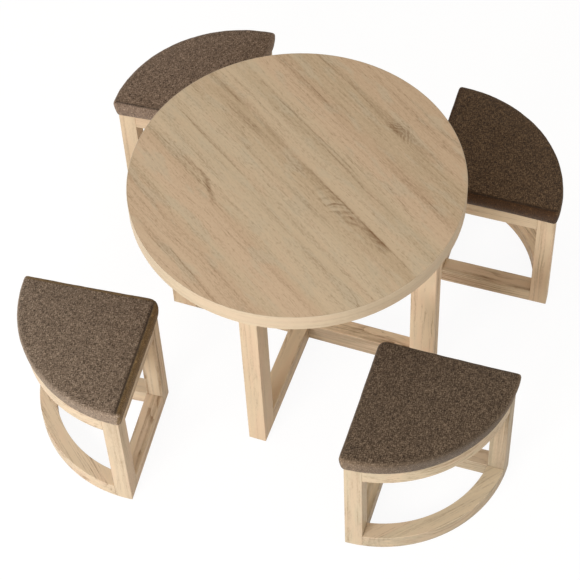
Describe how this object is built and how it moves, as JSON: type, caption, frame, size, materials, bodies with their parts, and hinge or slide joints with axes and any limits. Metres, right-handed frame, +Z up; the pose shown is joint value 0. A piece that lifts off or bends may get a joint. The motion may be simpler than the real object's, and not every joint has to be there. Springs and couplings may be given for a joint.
{
  "type": "round dining table with nesting stools",
  "caption": "Round oak dining table on a crossed base, with quarter-circle padded stools that slide in between its legs.",
  "frame": {"origin": "on the floor under the middle of the tabletop, at the sole of the foot under the crossing of the base", "axes": "+Z up; +X along the right arm and +Y along the back arm of the crossed base"},
  "size_m": [1.4934, 1.521, 0.752],
  "materials": {
    "oak_board": "light oak, satin lacquer",
    "oak_frame": "light oak, satin lacquer",
    "oak_edge_band": "pale oak edge band, satin lacquer",
    "woven_fabric": "brown melange weave",
    "plywood": "raw plywood",
    "zinc_plated_steel": "zinc plated"
  },
  "bodies": {
    "table": {"tabletop_panel": "oak_board", "tabletop_edge_band": "oak_edge_band", "leg_right": "oak_frame", "leg_back": "oak_frame", "leg_left": "oak_frame", "leg_front": "oak_frame", "floor_rail_x": "oak_frame", "floor_rail_y": "oak_frame", "top_rail_x": "oak_frame", "top_rail_y": "oak_frame", "top_bracket_right": "zinc_plated_steel", "top_bracket_back": "zinc_plated_steel", "top_bracket_left": "zinc_plated_steel", "top_bracket_front": "zinc_plated_steel"},
    "stool_back_right": {"stool_back_right_inner_post": "oak_frame", "stool_back_right_left_post": "oak_frame", "stool_back_right_right_post": "oak_frame", "stool_back_right_left_bottom_rail": "oak_frame", "stool_back_right_left_top_rail": "oak_frame", "stool_back_right_right_bottom_rail": "oak_frame", "stool_back_right_right_top_rail": "oak_frame", "stool_back_right_arc_bottom_rail": "oak_frame", "stool_back_right_arc_top_rail": "oak_frame", "stool_back_right_seat_board": "plywood", "stool_back_right_cushion": "woven_fabric"},
    "stool_back_left": {"stool_back_left_inner_post": "oak_frame", "stool_back_left_left_post": "oak_frame", "stool_back_left_right_post": "oak_frame", "stool_back_left_left_bottom_rail": "oak_frame", "stool_back_left_left_top_rail": "oak_frame", "stool_back_left_right_bottom_rail": "oak_frame", "stool_back_left_right_top_rail": "oak_frame", "stool_back_left_arc_bottom_rail": "oak_frame", "stool_back_left_arc_top_rail": "oak_frame", "stool_back_left_seat_board": "plywood", "stool_back_left_cushion": "woven_fabric"},
    "stool_front_left": {"stool_front_left_inner_post": "oak_frame", "stool_front_left_left_post": "oak_frame", "stool_front_left_right_post": "oak_frame", "stool_front_left_left_bottom_rail": "oak_frame", "stool_front_left_left_top_rail": "oak_frame", "stool_front_left_right_bottom_rail": "oak_frame", "stool_front_left_right_top_rail": "oak_frame", "stool_front_left_arc_bottom_rail": "oak_frame", "stool_front_left_arc_top_rail": "oak_frame", "stool_front_left_seat_board": "plywood", "stool_front_left_cushion": "woven_fabric"},
    "stool_front_right": {"stool_front_right_inner_post": "oak_frame", "stool_front_right_left_post": "oak_frame", "stool_front_right_right_post": "oak_frame", "stool_front_right_left_bottom_rail": "oak_frame", "stool_front_right_left_top_rail": "oak_frame", "stool_front_right_right_bottom_rail": "oak_frame", "stool_front_right_right_top_rail": "oak_frame", "stool_front_right_arc_bottom_rail": "oak_frame", "stool_front_right_arc_top_rail": "oak_frame", "stool_front_right_seat_board": "plywood", "stool_front_right_cushion": "woven_fabric"}
  },
  "joints": [
    {"name": "back_right_slides_in", "type": "slide", "parent": "table", "child": "stool_back_right", "axis": [-0.6781, -0.735, 0], "range_m": [0, 0.375]},
    {"name": "back_left_slides_in", "type": "slide", "parent": "table", "child": "stool_back_left", "axis": [0.7066, -0.7076, 0], "range_m": [0, 0.412]},
    {"name": "front_left_slides_in", "type": "slide", "parent": "table", "child": "stool_front_left", "axis": [0.6093, 0.7929, 0], "range_m": [0, 0.399]},
    {"name": "front_right_slides_in", "type": "slide", "parent": "table", "child": "stool_front_right", "axis": [-0.7937, 0.6083, 0], "range_m": [0, 0.393]}
  ]
}
